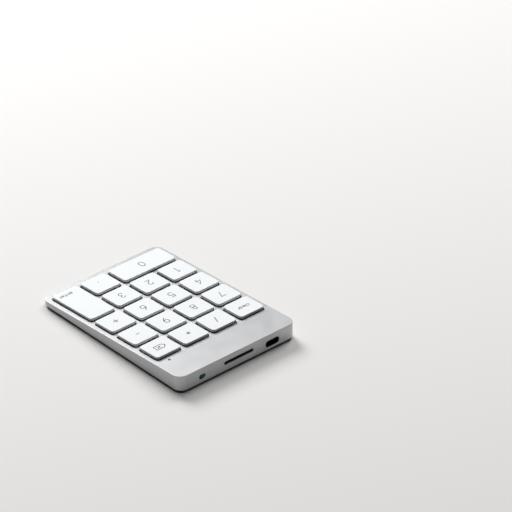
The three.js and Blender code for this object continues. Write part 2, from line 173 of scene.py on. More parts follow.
def on_deck(points, x=0.0, y=0.0, z=0.0):
    """Moves points to a place in the deck's frame and turns them into the object's frame."""
    return (points + np.array([x, y, z])) @ deck_turn.T


SMOOTH_ANGLE = math.radians(35)


def new_piece(name, points, faces, material, body, replaces=(), flat=False):
    """Mesh object from points and faces, smooth up to the smooth angle, riding on a body."""
    mesh = bpy.data.meshes.new(name)
    mesh.from_pydata(np.asarray(points).tolist(), [], faces)
    mesh.validate()
    if not flat:
        mesh.shade_smooth()
        mesh.set_sharp_from_angle(angle=SMOOTH_ANGLE)
    mesh.materials.append(material)
    piece = bpy.data.objects.new(name, mesh)
    bpy.context.scene.collection.objects.link(piece)
    if not flat:
        weigh = piece.modifiers.new("even flats", "WEIGHTED_NORMAL")
        weigh.keep_sharp = True
    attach(piece, body)
    if replaces:
        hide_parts(*replaces)
    return piece


print("helpers: outlines, profiles, ring stacks, pieces")

# %% [markdown]
# The camera stands behind the keypad and to its right, a little over thirty degrees up, and far away with a
# long lens, so that edges stay nearly parallel. It aims past the keypad, which puts it left of the middle.

# %% Camera
CAMERA_PLACE = Vector((0.94523, 1.09207, 0.95368))
CAMERA_AIM = Vector((-0.07701, -0.01682, 0.0))
CAMERA_ROLL = math.radians(0.92)
CAMERA_LENS = 234.2

camera = bpy.data.objects.new("camera", bpy.data.cameras.new("camera"))
bpy.context.scene.collection.objects.link(camera)
bpy.context.scene.camera = camera
camera.data.lens = CAMERA_LENS
camera.data.sensor_width = 36
camera.data.clip_start = 0.05
camera.data.clip_end = 50
look = (CAMERA_AIM - CAMERA_PLACE).to_track_quat("-Z", "Y")
camera.rotation_mode = "QUATERNION"
camera.rotation_quaternion = look @ Matrix.Rotation(CAMERA_ROLL, 3, "Z").to_quaternion()
camera.location = CAMERA_PLACE
print(f"camera {(CAMERA_PLACE - CAMERA_AIM).length:.2f} m from its aim, lens {CAMERA_LENS} mm")

# %% [markdown]
# The studio is a pale desk under three soft boxes. The strongest stands before the keypad's front edge, so
# the shadows fall towards the port edge, and it gleams on the deck. A wide one overhead lights what faces up.
# A weaker one at the left evens out the deck. Nothing shines on the port edge, so the near walls stay in
# shade.

# %% Desk, sky and lights
bpy.context.scene.view_settings.view_transform = "Standard"
FLOOR_HALF = 3.0
FLOOR_TONE = (0.875, 0.866, 0.852, 1)
SKY_TONE = (0.95, 0.97, 1.0, 1)
SKY_STRENGTH = 0.01

floor_mesh = bpy.data.meshes.new("desk")
corners = np.array([[-1, -1, 0], [1, -1, 0], [1, 1, 0], [-1, 1, 0]]) * FLOOR_HALF
floor_mesh.from_pydata(corners.tolist(), [], [[0, 1, 2, 3]])
floor = bpy.data.objects.new("desk", floor_mesh)
bpy.context.scene.collection.objects.link(floor)

floor_material = bpy.data.materials.new("desk")
floor_material.use_nodes = True
floor_shader = floor_material.node_tree.nodes["Principled BSDF"]
floor_shader.inputs["Base Color"].default_value = FLOOR_TONE
floor_shader.inputs["Roughness"].default_value = 0.6
floor_shader.inputs["Specular IOR Level"].default_value = 0.3
floor_mesh.materials.append(floor_material)

world = bpy.data.worlds.new("studio")
bpy.context.scene.world = world
world.use_nodes = True
world.node_tree.nodes["Background"].inputs["Color"].default_value = SKY_TONE
world.node_tree.nodes["Background"].inputs["Strength"].default_value = SKY_STRENGTH


def soft_light(name, azimuth, elevation, distance, size, power, tone=(1, 1, 1)):
    """Square area light that faces the origin. Azimuth is measured from +X towards +Y, in degrees."""
    light = bpy.data.lights.new(name, "AREA")
    light.size = size
    light.energy = power
    light.color = tone
    lamp = bpy.data.objects.new(name, light)
    a, e = math.radians(azimuth), math.radians(elevation)
    lamp.location = Vector((math.cos(a) * math.cos(e), math.sin(a) * math.cos(e), math.sin(e))) * distance
    lamp.rotation_mode = "QUATERNION"
    lamp.rotation_quaternion = (-lamp.location).to_track_quat("-Z", "Y")
    bpy.context.scene.collection.objects.link(lamp)
    return lamp


soft_light("front_softbox", 258, 38, 1.8, 0.8, 25.6)
soft_light("overhead_softbox", 0, 90, 2.5, 1.6, 15.0)
soft_light("left_softbox", 200, 45, 1.8, 0.8, 11.0)
print("studio: desk, sky, three soft boxes")

# %% [markdown]
# Three effects are shared by the finishes, drawn from two shader node groups made once. Grain is the even fine
# texture of a blasted or moulded surface, as a height for a Bump node. Drift is a faint large-scale change of
# tone. Handling is the faint mottling of roughness that fingers and cleaning leave. Both come from the mottle
# group.

# %% Shared shader groups


def new_group(name, inputs, outputs):
    """Empty shader node group with named sockets: each input is (name, default), each output (name, type)."""
    group = bpy.data.node_groups.new(name, "ShaderNodeTree")
    for label, default in inputs:
        socket = group.interface.new_socket(label, in_out="INPUT", socket_type="NodeSocketFloat")
        socket.default_value = default
    for label, kind in outputs:
        group.interface.new_socket(label, in_out="OUTPUT", socket_type=kind)
    entry = group.nodes.new("NodeGroupInput")
    leave = group.nodes.new("NodeGroupOutput")
    return group, entry, leave


def node(tree, kind, links=None, **settings):
    """New node with attributes set; links maps its input names or numbers to sockets or values."""
    made = tree.nodes.new(kind)
    for attribute, value in settings.items():
        setattr(made, attribute, value)
    for socket, source in (links or {}).items():
        if isinstance(source, bpy.types.NodeSocket):
            tree.links.new(source, made.inputs[socket])
        else:
            made.inputs[socket].default_value = source
    return made


def object_place(tree):
    """Object coordinates, which are metres in the object's frame."""
    return node(tree, "ShaderNodeTexCoord").outputs["Object"]


def grain_group():
    """Height = fine noise plus half as much noise twice as fine. Scale is in grains per metre."""
    group, entry, leave = new_group("grain", [("Scale", 4000.0)], [("Height", "NodeSocketFloat")])
    place = object_place(group)
    coarse = node(group, "ShaderNodeTexNoise",
                  {"Vector": place, "Scale": entry.outputs["Scale"], "Detail": 1.0})
    double = node(group, "ShaderNodeMath", {0: entry.outputs["Scale"], 1: 2.1}, operation="MULTIPLY")
    fine = node(group, "ShaderNodeTexNoise", {"Vector": place, "Scale": double.outputs[0], "Detail": 0.0})
    total = node(group, "ShaderNodeMath", {0: fine.outputs["Fac"], 1: 0.5, 2: coarse.outputs["Fac"]},
                 operation="MULTIPLY_ADD")
    group.links.new(total.outputs[0], leave.inputs["Height"])
    return group


def mottle_group():
    """Value = noise of the given scale, spread between Low and High."""
    group, entry, leave = new_group(
        "mottle", [("Scale", 60.0), ("Low", 0.4), ("High", 0.5)], [("Value", "NodeSocketFloat")])
    place = object_place(group)
    cloud = node(group, "ShaderNodeTexNoise",
                 {"Vector": place, "Scale": entry.outputs["Scale"], "Detail": 3.0, "Roughness": 0.6})
    spread = node(group, "ShaderNodeMapRange",
                  {"Value": cloud.outputs["Fac"], "From Min": 0.3, "From Max": 0.7,
                   "To Min": entry.outputs["Low"], "To Max": entry.outputs["High"]})
    group.links.new(spread.outputs["Result"], leave.inputs["Value"])
    return group


GRAIN = grain_group()
MOTTLE = mottle_group()
print("shader groups:", GRAIN.name, MOTTLE.name)

# %% [markdown]
# A finish is one Principled shader. Its tone drifts between two near colours, its roughness is mottled
# between two values, and its grain is a bump of real height, so one function serves metal, plastic and
# rubber, and only the numbers differ.

# %% Finishes


def finish(name, tone, tone_drift, rough, grain_scale, grain_depth, metallic=0.0, drift_scale=25.0,
           mottle_scale=90.0, specular=0.5, coat=0.0):
    """Material from two tones, a (low, high) roughness, and a grain of scale per metre and depth in m."""
    material = bpy.data.materials.new(name)
    material.use_nodes = True
    tree = material.node_tree
    shader = tree.nodes["Principled BSDF"]
    shader.inputs["Metallic"].default_value = metallic
    shader.inputs["Specular IOR Level"].default_value = specular
    shader.inputs["Coat Weight"].default_value = coat
    drift = node(tree, "ShaderNodeGroup", {}, node_tree=MOTTLE)
    drift.inputs["Scale"].default_value = drift_scale
    drift.inputs["Low"].default_value = 0.0
    drift.inputs["High"].default_value = 1.0
    blend = node(tree, "ShaderNodeMix", {0: drift.outputs["Value"]}, data_type="RGBA")
    blend.inputs["A"].default_value = (*tone, 1)
    blend.inputs["B"].default_value = (*tone_drift, 1)
    tree.links.new(blend.outputs["Result"], shader.inputs["Base Color"])
    mottle = node(tree, "ShaderNodeGroup", {}, node_tree=MOTTLE)
    mottle.inputs["Scale"].default_value = mottle_scale
    mottle.inputs["Low"].default_value = rough[0]
    mottle.inputs["High"].default_value = rough[1]
    tree.links.new(mottle.outputs["Value"], shader.inputs["Roughness"])
    grain = node(tree, "ShaderNodeGroup", {}, node_tree=GRAIN)
    grain.inputs["Scale"].default_value = grain_scale
    bump = node(tree, "ShaderNodeBump", {"Height": grain.outputs["Height"]})
    bump.inputs["Distance"].default_value = grain_depth
    bump.inputs["Strength"].default_value = 1.0
    tree.links.new(bump.outputs["Normal"], shader.inputs["Normal"])
    return material


FINISHES = {
    "aluminium_shell": finish("blasted_aluminium", (0.50, 0.503, 0.51), (0.48, 0.483, 0.49), (0.40, 0.45),
                              6000, 4e-6, metallic=1.0),
    "keycap_white": finish("satin_keycap", (0.955, 0.985, 1.0), (0.945, 0.975, 0.99),
                           (0.40, 0.48), 5000, 3e-6),
    "base_plastic": finish("moulded_base", (0.120, 0.121, 0.124), (0.105, 0.106, 0.109),
                           (0.5, 0.62), 2500, 1.5e-5),
    "foot_rubber": finish("foot_rubber", (0.050, 0.051, 0.053), (0.040, 0.041, 0.043),
                          (0.75, 0.9), 3000, 1.2e-5),
    "screw_steel": finish("zinc_screw", (0.42, 0.43, 0.45), (0.36, 0.37, 0.39),
                          (0.28, 0.4), 8000, 2e-6, metallic=1.0),
    "plate_steel": finish("stamped_plate", (0.10, 0.10, 0.105), (0.08, 0.08, 0.085), (0.4, 0.55), 4000, 4e-6),
    "membrane_film": finish("membrane_film", (0.05, 0.05, 0.052), (0.04, 0.04, 0.042),
                            (0.25, 0.35), 1500, 3e-6),
    "dome_silicone": finish("dome_silicone", (0.045, 0.046, 0.048), (0.036, 0.037, 0.039),
                            (0.5, 0.65), 2500, 6e-6),
    "board": finish("solder_mask", (0.010, 0.045, 0.028), (0.008, 0.038, 0.022), (0.3, 0.42), 1800, 8e-6),
    "battery_wrap": finish("battery_foil", (0.45, 0.46, 0.48), (0.40, 0.41, 0.43), (0.35, 0.5), 900, 3e-5),
    "socket_steel": finish("blackened_steel", (0.03, 0.03, 0.032), (0.024, 0.024, 0.026),
                           (0.3, 0.4), 6000, 2e-6,
                           metallic=1.0),
    "black_plastic": finish("black_plastic", (0.018, 0.018, 0.020), (0.014, 0.014, 0.016),
                            (0.35, 0.5), 4000, 5e-6),
    "green_indicator": finish("green_print", (0.03, 0.55, 0.22), (0.03, 0.50, 0.20), (0.3, 0.4), 3000, 3e-6),
    "light_pipe": finish("light_pipe", (0.02, 0.021, 0.022), (0.016, 0.017, 0.018), (0.1, 0.2), 3000, 1e-6),
    "scissor_plastic": finish("scissor_acetal", (0.05, 0.05, 0.052), (0.04, 0.04, 0.042),
                              (0.4, 0.5), 3000, 5e-6),
    "wire_steel": finish("spring_wire", (0.42, 0.42, 0.44), (0.36, 0.36, 0.38), (0.2, 0.32), 7000, 2e-6,
                         metallic=1.0),
}
FINISHES["deep_black"] = finish("deep_black", (0.004, 0.004, 0.004), (0.003, 0.003, 0.003), (0.6, 0.7),
                                4000, 3e-6, specular=0.1)
FINISHES["gloss_black"] = finish("gloss_black", (0.006, 0.006, 0.007), (0.005, 0.005, 0.006), (0.12, 0.18),
                                 4000, 1e-6, specular=0.25)
LEGEND_INK = finish("legend_ink", (0.13, 0.135, 0.14), (0.115, 0.12, 0.125), (0.5, 0.6), 3000, 1e-6)
CONTACT_GOLD = finish("contact_gold", (0.72, 0.52, 0.22), (0.66, 0.47, 0.20), (0.2, 0.3), 6000, 1e-6,
                      metallic=1.0)
record_slots = {entry["node"]: entry["material_slot"] for entry in frame["record"]["subparts"]}
for name, cad_node in nodes.items():
    cad_node.data.materials.clear()
    cad_node.data.materials.append(FINISHES[record_slots[name]])
print(f"{len(FINISHES)} finishes on {len(nodes)} nodes")

# %% [markdown]
# The shell is one wedge: its deck is a slanted plane, and its walls are square to the deck, so they lean a
# little. Its ring stack starts under the deck, runs down the inner walls, round the foot of the walls, up the
# outside and over a small rounded rim to the deck. The key openings and port holes are then cut with cutters
# whose mouths flare in a quarter circle, so every cut edge is softly rounded, as blasting leaves it.

# %% Aluminium shell
WALL = 1.3 * MM
DECK_THICKNESS = 1.0 * MM
CORNER_RADIUS = 5.0 * MM
RIM = 0.2 * MM
WALL_FOOT_EDGE = 0.12 * MM
CUT_ROUNDING = 0.1 * MM
OPENING_GAP = 0.45 * MM
CAP_RADIUS = 1.8 * MM
PAST = 1.0 * MM

shell_low, shell_high = (np.array(corner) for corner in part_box("top_case"))
case_width = (shell_high - shell_low)[0]


def case_ring(inset, height=None, drop=0.0):
    """Case outline at one height, or at a drop under the deck's plane. Each point leans out along Y by its
    depth under the deck times the tangent of the wedge, which makes the walls square to the deck."""
    outline = rounded_outline(case_width, CASE_LENGTH, CORNER_RADIUS, inset, steps=18)
    deck = deck_height(outline[:, 1])
    z = deck - drop if height is None else np.full(len(outline), height)
    return np.column_stack([outline[:, 0], outline[:, 1] + (deck - z) * math.tan(wedge), z])


def wedge_shell():
    """Closed body of the shell without its holes."""
    foot = shell_low[2]
    over = [case_ring(inset, drop=drop) for inset, drop in
            quarter(0, RIM, RIM, 0, count=6)]
    return np.stack([
        case_ring(WALL, drop=DECK_THICKNESS),
        case_ring(WALL, height=foot),
        case_ring(WALL_FOOT_EDGE, height=foot),
        case_ring(0, height=foot + WALL_FOOT_EDGE),
        *over,
        case_ring(2 * RIM, drop=0)])


def flared(outline_at, bottom, mouth, rounding=CUT_ROUNDING):
    """Cutter: straight up to a rounding below its mouth, then flaring out in a quarter circle, and on."""
    profile = [(0, bottom), *quarter(0, -rounding, mouth - rounding, mouth, bulge="out")]
    profile.append((-rounding, mouth + PAST))
    return stack(outline_at, np.array(profile))


def key_cutters():
    """One cutter per key, a gap wider than its cap all round."""
    made = []
    for name in key_names:
        low, high = deck_box("keycap_" + name)
        width, depth = (high - low)[:2] + 2 * OPENING_GAP
        middle = (low + high)[:2] / 2
        rings = flared(lambda inset: rounded_outline(width, depth, CAP_RADIUS + OPENING_GAP, inset, 8),
                       -DECK_THICKNESS - PAST, 0)
        made.append(on_deck(rings, middle[0], middle[1], deck_level))
    return made


def port_cutter(width, height, x, z):
    """Cutter along Y through the port wall, with round ends."""
    rings = flared(lambda inset: rounded_outline(width, height, height / 2, inset, 10), -WALL - PAST, 0)
    return in_port_wall(rings, x, z)


def middle_of(name):
    """Middle of a node's box."""
    low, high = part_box(name)
    return (low + high) / 2


PORT_HOLE = (9.5 * MM, 3.7 * MM)
SLOT_HOLE = (20.0 * MM, 1.8 * MM)
SWITCH_HOLE = (4.2 * MM, 2.6 * MM)
LED_HOLE_RADIUS = 0.7 * MM
LED_ROUNDING = 0.08 * MM
port_middle, slot_middle, switch_middle = (
    middle_of(name) for name in ("usb_c_shell", "antenna_window", "switch_body"))
led_low, led_high = deck_box("led_light_pipe")
led_cutter = on_deck(
    flared(lambda inset: ring_outline(LED_HOLE_RADIUS - inset), -DECK_THICKNESS - PAST, 0, LED_ROUNDING),
    (led_low + led_high)[0] / 2, (led_low + led_high)[1] / 2, deck_level)
cutters = [*key_cutters(), led_cutter,
           port_cutter(*PORT_HOLE, port_middle.x, port_middle.z),
           port_cutter(*SLOT_HOLE, slot_middle.x, slot_middle.z),
           port_cutter(*SWITCH_HOLE, switch_middle.x, switch_middle.z)]


def cut_from(points, faces, cutter_stacks, name):
    """Cuts closed ring stacks out of a closed mesh with Blender's exact boolean, as points and faces."""
    made = []
    for label, (verts, polygons) in (("body", (points, faces)), ("cutter", joined(cutter_stacks))):
        mesh = bpy.data.meshes.new(f"{name}_{label}")
        mesh.from_pydata(np.asarray(verts).tolist(), [], polygons)
        made.append(bpy.data.objects.new(f"{name}_{label}", mesh))
        bpy.context.scene.collection.objects.link(made[-1])
    body, cutter = made
    cut = body.modifiers.new("cut", "BOOLEAN")
    cut.operation = "DIFFERENCE"
    cut.solver = "EXACT"
    cut.object = cutter
    result = body.evaluated_get(bpy.context.evaluated_depsgraph_get()).to_mesh()
    verts = np.zeros(len(result.vertices) * 3, np.float32)
    result.vertices.foreach_get("co", verts)
    polygons = [list(polygon.vertices) for polygon in result.polygons]
    for scrap in made:
        bpy.data.objects.remove(scrap)
    return verts.reshape(-1, 3), polygons


shell_points, shell_faces = cut_from(*joined([wedge_shell()]), cutters, "shell")
new_piece("top_shell", shell_points, shell_faces, FINISHES["aluminium_shell"], "case",
          replaces=["top_case"])
print(f"top_shell: {len(shell_faces)} faces, {len(cutters)} holes cut")

# %% [markdown]
# A scissor keycap is a shallow hollow cap: a flat roof, straight walls with small round corners and a thin
# skirt. Its profile runs from the pocket inside, down and round the skirt's edge, up the wall, over a
# rounded shoulder and onto the flat top. One last ring just inside the shoulder keeps the top's shading flat.

# %% Keycaps
CAP_SHOULDER = 0.2 * MM
CAP_WALL = 0.8 * MM
CAP_ROOF = 1.0 * MM
CAP_DRAFT = 0.06 * MM
SKIRT_EDGE = 0.12 * MM
LEGEND_RISE = 0.02 * MM


def cap_profile(skirt, top):
    """(inset, height) pairs of the keycap from its pocket's roof to its top."""
    return np.array([
        (CAP_WALL, top - CAP_ROOF),
        (CAP_WALL, skirt),
        (SKIRT_EDGE, skirt),
        (0, skirt + SKIRT_EDGE),
        *quarter(CAP_DRAFT, CAP_DRAFT + CAP_SHOULDER, top - CAP_SHOULDER, top, count=6),
        (CAP_DRAFT + 1.8 * CAP_SHOULDER, top)])


key_places = {}
for name in key_names:
    low, high = deck_box("keycap_" + name)
    width, depth = (high - low)[:2]
    middle = (low + high)[:2] / 2
    top = high[2] - LEGEND_RISE
    rings = stack(lambda inset: rounded_outline(width, depth, CAP_RADIUS, inset, 8), cap_profile(low[2], top))
    points, faces = joined([rings])
    new_piece("cap_" + name, on_deck(points, middle[0], middle[1]), faces, FINISHES["keycap_white"],
              "key_" + name, replaces=["keycap_" + name])
    key_places[name] = (middle[0], middle[1], top, width, depth)
print(f"{len(key_places)} keycaps")

# %% [markdown]
# The legends are printed in one thin stroke, like a drawing with a round-nosed pen. Each sign is a few
# strokes: lines, arcs and bowls, in millimetres round its own middle, with the reader's right along +X. A
# stroke becomes a flat ribbon, a hair thick, whose top lies on the keycap's surface.

# %% Strokes of the legends
DIGIT_HALF_HEIGHT = 2.25
LETTER_HEIGHT = 1.3
LETTER_GAP = 0.62
LETTER_SCALE = 1.15
INK_DEPTH = 0.08 * MM
DIGIT_STROKE = 0.48 * MM
LETTER_STROKE = 0.4 * MM
SHARPEST_TURN = 0.5  # a ribbon's corner reaches out no further than it would at this cosine


def arc(x, y, radius_x, radius_y, start, end, count=14):
    """Points on an ellipse from one angle to another, in degrees."""
    turn = np.radians(np.linspace(start, end, count))
    return np.stack([x + radius_x * np.cos(turn), y + radius_y * np.sin(turn)], -1)


def line(*corners):
    """Straight stroke through its corners."""
    return np.array(corners, float)


def bowl(x, y, radius_x, radius_y):
    """Closed round stroke: its last point repeats its first."""
    return arc(x, y, radius_x, radius_y, 90, 450, 25)


def swept(start, bend, end, count=9):
    """Quadratic curve: start and end weigh in by (1-t)^2 and t^2, and the bend by 2t(1-t)."""
    t = np.linspace(0, 1, count)[:, None]
    return (1 - t) ** 2 * np.array(start) + 2 * t * (1 - t) * np.array(bend) + t ** 2 * np.array(end)


TALL = DIGIT_HALF_HEIGHT  # a digit reaches from -TALL to TALL
six = [bowl(0, -0.85, 1.38, 1.4), swept((-1.38, -0.85), (-1.3, 1.0), (0.55, TALL))]
SIGNS = {
    "0": [bowl(0, 0, 1.45, TALL)],
    "1": [line((-0.85, 1.4), (0.3, TALL), (0.3, -TALL))],
    "2": [np.concatenate([arc(0, 0.95, 1.3, 1.3, 165, -40), line((-1.4, -TALL), (1.4, -TALL))])],
    "3": [arc(0, 1.12, 1.15, 1.13, 155, -90), arc(0, -1.05, 1.35, 1.2, 90, -155)],
    "4": [line((0.65, -TALL), (0.65, TALL), (-1.6, -1.05), (1.55, -1.05))],
    "5": [np.concatenate([line((1.2, TALL), (-0.95, TALL), (-1.15, 0.2)),
                          arc(0, -0.8, 1.42, 1.42, 132, -145)])],
    "6": six,
    "7": [line((-1.4, TALL), (1.4, TALL), (-0.45, -TALL))],
    "8": [bowl(0, 1.15, 1.1, 1.1), bowl(0, -1.1, 1.4, 1.15)],
    "9": [-stroke for stroke in six],
    "divide": [line((-0.95, -TALL), (0.95, TALL))],
    "multiply": [line((0, -1.0), (0, 1.0)), line((-0.87, -0.5), (0.87, 0.5)),
                 line((-0.87, 0.5), (0.87, -0.5))],
    "minus": [line((-0.9, 0), (0.9, 0))],
    "plus": [line((-1.4, 0), (1.4, 0)), line((0, -1.4), (0, 1.4))],
    "decimal": [line((-0.05, -1.6), (0.25, -1.6))],
    "backspace": [line((-3.2, 0), (-1.5, 1.8), (3.1, 1.8), (3.1, -1.8), (-1.5, -1.8), (-3.2, 0)),
                  line((-0.1, -0.85), (1.6, 0.85)), line((-0.1, 0.85), (1.6, -0.85))],
}
LOW = LETTER_HEIGHT  # height of the small letters without a stem
LETTERS = {
    "a": (1.16, [bowl(0.56, LOW / 2, 0.56, LOW / 2), line((1.16, 0), (1.16, LOW))]),
    "c": (1.05, [arc(0.6, LOW / 2, 0.6, LOW / 2, 45, 315)]),
    "e": (1.15, [np.concatenate([line((0.02, LOW / 2), (1.13, LOW / 2)),
                                 arc(0.58, LOW / 2, 0.56, LOW / 2, 15, 315)])]),
    "l": (0.0, [line((0, 0), (0, 2.0))]),
    "n": (1.05, [line((0, 0), (0, LOW)),
                 np.concatenate([arc(0.52, 0.75, 0.52, 0.55, 180, 0), line((1.05, 0))])]),
    "r": (0.6, [line((0, 0), (0, LOW)), arc(0.55, 0.7, 0.55, 0.6, 170, 80)]),
    "t": (0.7, [line((0.35, 1.8), (0.35, 0.25), (0.7, 0)), line((0, LOW), (0.75, LOW))]),
}


def word(letters):
    """Strokes of a word, its letters set side by side and the whole centred."""
    strokes, at = [], 0.0
    for letter in letters:
        width, made = LETTERS[letter]
        strokes += [stroke + np.array([at, 0]) for stroke in made]
        at += width + LETTER_GAP
    return [(stroke - np.array([(at - LETTER_GAP) / 2, LOW / 2])) * LETTER_SCALE for stroke in strokes]


def ribbon(stroke, width, low, high):
    """Closed flat bar along a stroke. Each point is set off to both sides along the mean normal of its two
    neighbouring segments, lengthened by the cosine of the half bend so that the bar keeps its width. Open
    strokes grow by half a width at each end. Result (stations, 4, 3)."""
    closed = np.allclose(stroke[0], stroke[-1])
    path = stroke[:-1] if closed else stroke
    before = path - np.roll(path, 1, 0)
    after = np.roll(path, -1, 0) - path
    if not closed:
        before[0], after[-1] = after[0], before[-1]
    before /= np.linalg.norm(before, axis=1, keepdims=True)
    after /= np.linalg.norm(after, axis=1, keepdims=True)
    if not closed:
        path = path.copy()
        path[0] -= after[0] * width / 2
        path[-1] += before[-1] * width / 2
    mean = before + after
    mean /= np.linalg.norm(mean, axis=1, keepdims=True)
    reach = width / 2 / np.maximum((mean * after).sum(1), SHARPEST_TURN)
    off = np.stack([-mean[:, 1], mean[:, 0]], -1) * reach[:, None]
    sides = np.stack([path + off, path - off, path - off, path + off], 1)
    heights = np.broadcast_to(np.array([low, low, high, high])[None, :, None], (len(path), 4, 1))
    return np.concatenate([sides, heights], -1), closed


def ribbon_faces(stations, closed, start):
    """Quads round the bar's four sides, with an end face at each end unless it is closed on itself."""
    here = np.arange(stations if closed else stations - 1)[:, None] * 4
    there = (here + 4) % (stations * 4)
    side = np.arange(4)[None, :]
    beside = (side + 1) % 4
    quads = np.stack([here + side, here + beside, there + beside, there + side], -1).reshape(-1, 4) + start
    ends = [] if closed else [[start, start + 3, start + 2, start + 1],
                              [start + (stations - 1) * 4 + corner for corner in range(4)]]
    return quads.tolist() + ends


def printed(strokes, width, top):
    """One mesh from several strokes, in the deck's frame, its ink lying up to the top."""
    points, faces, start = [], [], 0
    for stroke in strokes:
        bar, closed = ribbon(stroke * MM, width, top - INK_DEPTH, top)
        faces += ribbon_faces(len(bar), closed, start)
        points.append(bar.reshape(-1, 3))
        start += len(bar) * 4
    return np.concatenate(points), faces


print(f"{len(SIGNS)} signs, {len(LETTERS)} letters")

# %% [markdown]
# Each legend goes in the middle of its key, apart from the word on the tall key, which stands low and to the
# right. A legend rides on its key's body, so it travels with the key when that is pressed.

# %% Legends on the keys
WORDS = {"clear": (0.0, 0.0), "enter": (1.9 * MM, -11.9 * MM)}
for name, (x, y, top, width, depth) in key_places.items():
    dx, dy = WORDS.get(name, (0.0, 0.0))
    stroke_width = LETTER_STROKE if name in WORDS else DIGIT_STROKE
    strokes = word(name) if name in WORDS else SIGNS[name]
    points, faces = printed(strokes, stroke_width, top + LEGEND_RISE)
    new_piece("legend_" + name, on_deck(points, x + dx, y + dy), faces, LEGEND_INK, "key_" + name, flat=True)
print(f"{len(key_places)} legends")

# %% [markdown]
# The socket is a shell of drawn steel with a rolled lip and a thin tongue in its middle, whose contacts show
# as a row of fine gold bars on both faces. It stands a little behind the wall's face, so the hole round it
# reads as a dark line. The profile runs up the outside, over the lip and back down the inside.

# %% USB-C socket
SHELL_WALL = 0.3 * MM
TONGUE_RADIUS = 0.3 * MM
CONTACT_COUNT = 12
CONTACT_PITCH = 0.5 * MM
CONTACT_WIDTH = 0.25 * MM
CONTACT_LENGTH = 3.5 * MM
CONTACT_RISE = 0.02 * MM

socket_low, socket_high = (np.array(corner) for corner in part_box("usb_c_shell"))
socket_width, socket_depth, socket_height = socket_high - socket_low
socket_face = socket_high[1] - port_wall(port_middle.z)
half_wall = SHELL_WALL / 2
socket_profile = np.array([
    (0, socket_face - socket_depth),
    *quarter(0, half_wall, socket_face - half_wall, socket_face),
    *quarter(half_wall, SHELL_WALL, socket_face, socket_face - half_wall, bulge="in")[1:],
    (SHELL_WALL, socket_face - socket_depth + SHELL_WALL)])
socket_rings = stack(lambda inset: rounded_outline(socket_width, socket_height, socket_height / 2, inset, 12),
                     socket_profile)
points, faces = joined([in_port_wall(socket_rings, port_middle.x, port_middle.z)])
new_piece("port_shell", points, faces, FINISHES["socket_steel"], "case", replaces=["usb_c_shell"])

tongue_low, tongue_high = (np.array(corner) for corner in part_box("usb_c_tongue"))
tongue_width, tongue_depth, tongue_height = tongue_high - tongue_low
tongue_middle = (tongue_low + tongue_high) / 2
tongue_profile = np.array([(0, -tongue_depth), *quarter(0, TONGUE_RADIUS, -TONGUE_RADIUS, 0)])
tongue_rings = stack(lambda inset: rounded_outline(tongue_width, tongue_height, TONGUE_RADIUS, inset, 6),
                     tongue_profile)
tongue_points = np.stack([tongue_rings[..., 0] + tongue_middle[0], tongue_rings[..., 2] + tongue_high[1],
                          tongue_middle[2] - tongue_rings[..., 1]], -1)
points, faces = joined([tongue_points])
new_piece("port_tongue", points, faces, FINISHES["black_plastic"], "case", replaces=["usb_c_tongue"])

contacts = []
for column in range(CONTACT_COUNT):
    x = tongue_middle[0] + (column - (CONTACT_COUNT - 1) / 2) * CONTACT_PITCH
    bar = rounded_outline(CONTACT_WIDTH, CONTACT_LENGTH, CONTACT_WIDTH / 4, steps=2)
    bar_low, bar_high = tongue_low[2] - CONTACT_RISE, tongue_high[2] + CONTACT_RISE
    place = np.array([x, tongue_high[1] - TONGUE_RADIUS - CONTACT_LENGTH / 2, 0])
    contacts.append(np.stack([np.column_stack([bar, np.full(len(bar), z)])
                              for z in (bar_low, bar_high)]) + place)
points, faces = joined(contacts)
new_piece("port_contacts", points, faces, CONTACT_GOLD, "case", flat=True)
print(f"socket {socket_width / MM:.2f} by {socket_height / MM:.2f} mm, {CONTACT_COUNT} contacts a side")

# %% [markdown]
# The long slot over the socket's side of the wall lets radio waves out of the metal case. Behind it sits a
# black window, set back so that the slot reads as a shadow. Its face is softly rounded like any moulding.

# %% Antenna window
WINDOW_EDGE = 0.12 * MM
window_low, window_high = (np.array(corner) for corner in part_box("antenna_window"))
window_width, window_depth, window_height = window_high - window_low
window_face = window_high[1] - port_wall(slot_middle.z)
window_profile = np.array([(0, window_face - window_depth),
                           *quarter(0, WINDOW_EDGE, window_face - WINDOW_EDGE, window_face)])
window_rings = stack(lambda inset: rounded_outline(window_width, window_height, window_height / 2, inset, 8),
                     window_profile)
points, faces = joined([in_port_wall(window_rings, slot_middle.x, slot_middle.z)])
new_piece("slot_window", points, faces, FINISHES["deep_black"], "case", replaces=["antenna_window"])
print(f"window {window_width / MM:.1f} by {window_height / MM:.1f} mm, "
      f"{-window_face / MM:.2f} mm behind the wall")

# %% [markdown]
# The switch's knob is a small black stud with a domed face. Sliding it aside uncovers more of the green
# insert that fills its hole. The knob rides on the switch's own body, and the insert stays with the case.

